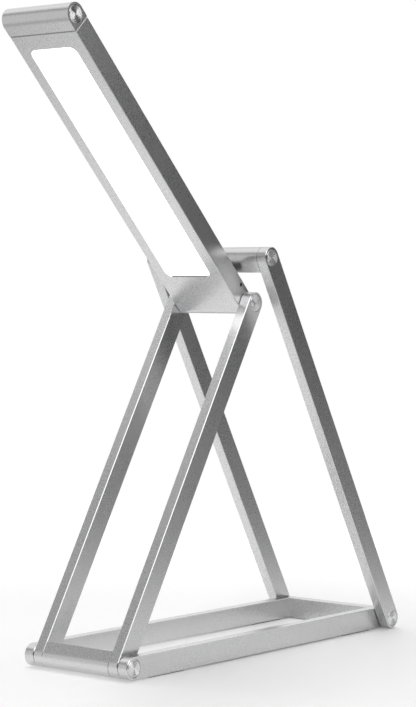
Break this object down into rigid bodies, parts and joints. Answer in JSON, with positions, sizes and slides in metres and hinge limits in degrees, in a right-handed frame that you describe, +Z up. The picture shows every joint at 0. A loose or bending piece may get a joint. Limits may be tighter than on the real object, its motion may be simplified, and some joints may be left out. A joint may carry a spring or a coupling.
{
  "type": "folding desk lamp",
  "caption": "Folding desk lamp of nested aluminium bar frames on friction hinges, with a slim lit head that folds into the front frame and a rear frame that swings from the base.",
  "frame": {"origin": "on the table, under the middle of the lamp's length and width in its working position", "axes": "+Z up, +X along the base from the front hinge to the rear hinge, -Y the side with the charging socket"},
  "size_m": [0.3212, 0.0976, 0.3982],
  "materials": {
    "satin_aluminium": "fine blasted and clear anodised, with bright bevelled edges",
    "turned_aluminium": "faced on a lathe, with fine rings",
    "steel": "plain machined",
    "bush_plastic": "moulded bearing plastic",
    "black_rubber": "matt",
    "opal_diffuser": "opal, lit from behind",
    "clear_acrylic": "clear and polished",
    "white_plastic": "white film and moulding",
    "circuit_board": "solder mask",
    "led_package": "phosphor",
    "cell_foil": "foil pouch",
    "socket_plastic": "moulded"
  },
  "bodies": {
    "base": {"base_rail_near": "satin_aluminium", "base_rail_far": "satin_aluminium", "base_cross_bar": "satin_aluminium", "base_dowels": "steel", "base_feet": "black_rubber", "front_hinge_bushes": "bush_plastic", "front_hinge_springs": "steel", "front_hinge_caps": "turned_aluminium", "rear_hinge_pins": "steel"},
    "front_frame": {"front_leg_near": "satin_aluminium", "front_leg_far": "satin_aluminium", "front_cross_bar": "satin_aluminium", "front_dowels": "steel", "front_hinge_pins": "steel", "head_hinge_bushes": "bush_plastic", "head_hinge_springs": "steel", "head_hinge_caps": "turned_aluminium"},
    "rear_frame": {"rear_leg_near": "satin_aluminium", "rear_leg_far": "satin_aluminium", "rear_cross_bar": "satin_aluminium", "rear_dowels": "steel", "rear_bar_screws": "steel", "rear_bar_caps": "turned_aluminium", "rear_hinge_bushes": "bush_plastic", "rear_hinge_springs": "steel", "rear_hinge_caps": "turned_aluminium"},
    "head": {"head_housing": "satin_aluminium", "head_back_cover": "satin_aluminium", "cover_screws": "steel", "head_end_cap": "satin_aluminium", "end_cap_gasket": "black_rubber", "end_cap_screws": "steel", "end_cap_discs": "turned_aluminium", "head_hinge_pins": "steel", "head_pivot_bushes": "bush_plastic", "diffuser": "opal_diffuser", "light_guide": "clear_acrylic", "reflector_sheet": "white_plastic", "led_strips": "circuit_board", "leds": "led_package", "light_carrier": "white_plastic", "carrier_screws": "steel", "battery_cell": "cell_foil", "control_board": "circuit_board", "board_screws": "steel", "charging_socket": "socket_plastic"}
  },
  "joints": [
    {"name": "front_fold", "type": "hinge", "parent": "base", "child": "front_frame", "pos_m": [-0.11494, 0, 0.0075], "axis": [0, 1, 0], "range_deg": [0, 59.5]},
    {"name": "head_tilt", "type": "hinge", "parent": "front_frame", "child": "head", "pos_m": [0.01296, 0, 0.22463], "axis": [0, 1, 0], "range_deg": [-104.5, 1.5]},
    {"name": "rear_swing", "type": "hinge", "parent": "base", "child": "rear_frame", "pos_m": [0.15356, 0, 0.0075], "axis": [0, 1, 0], "range_deg": [0, 120.4]}
  ],
  "couplings": [
    {"joint": "rear_swing", "follows": "front_fold", "ratio": 2.0235}
  ]
}
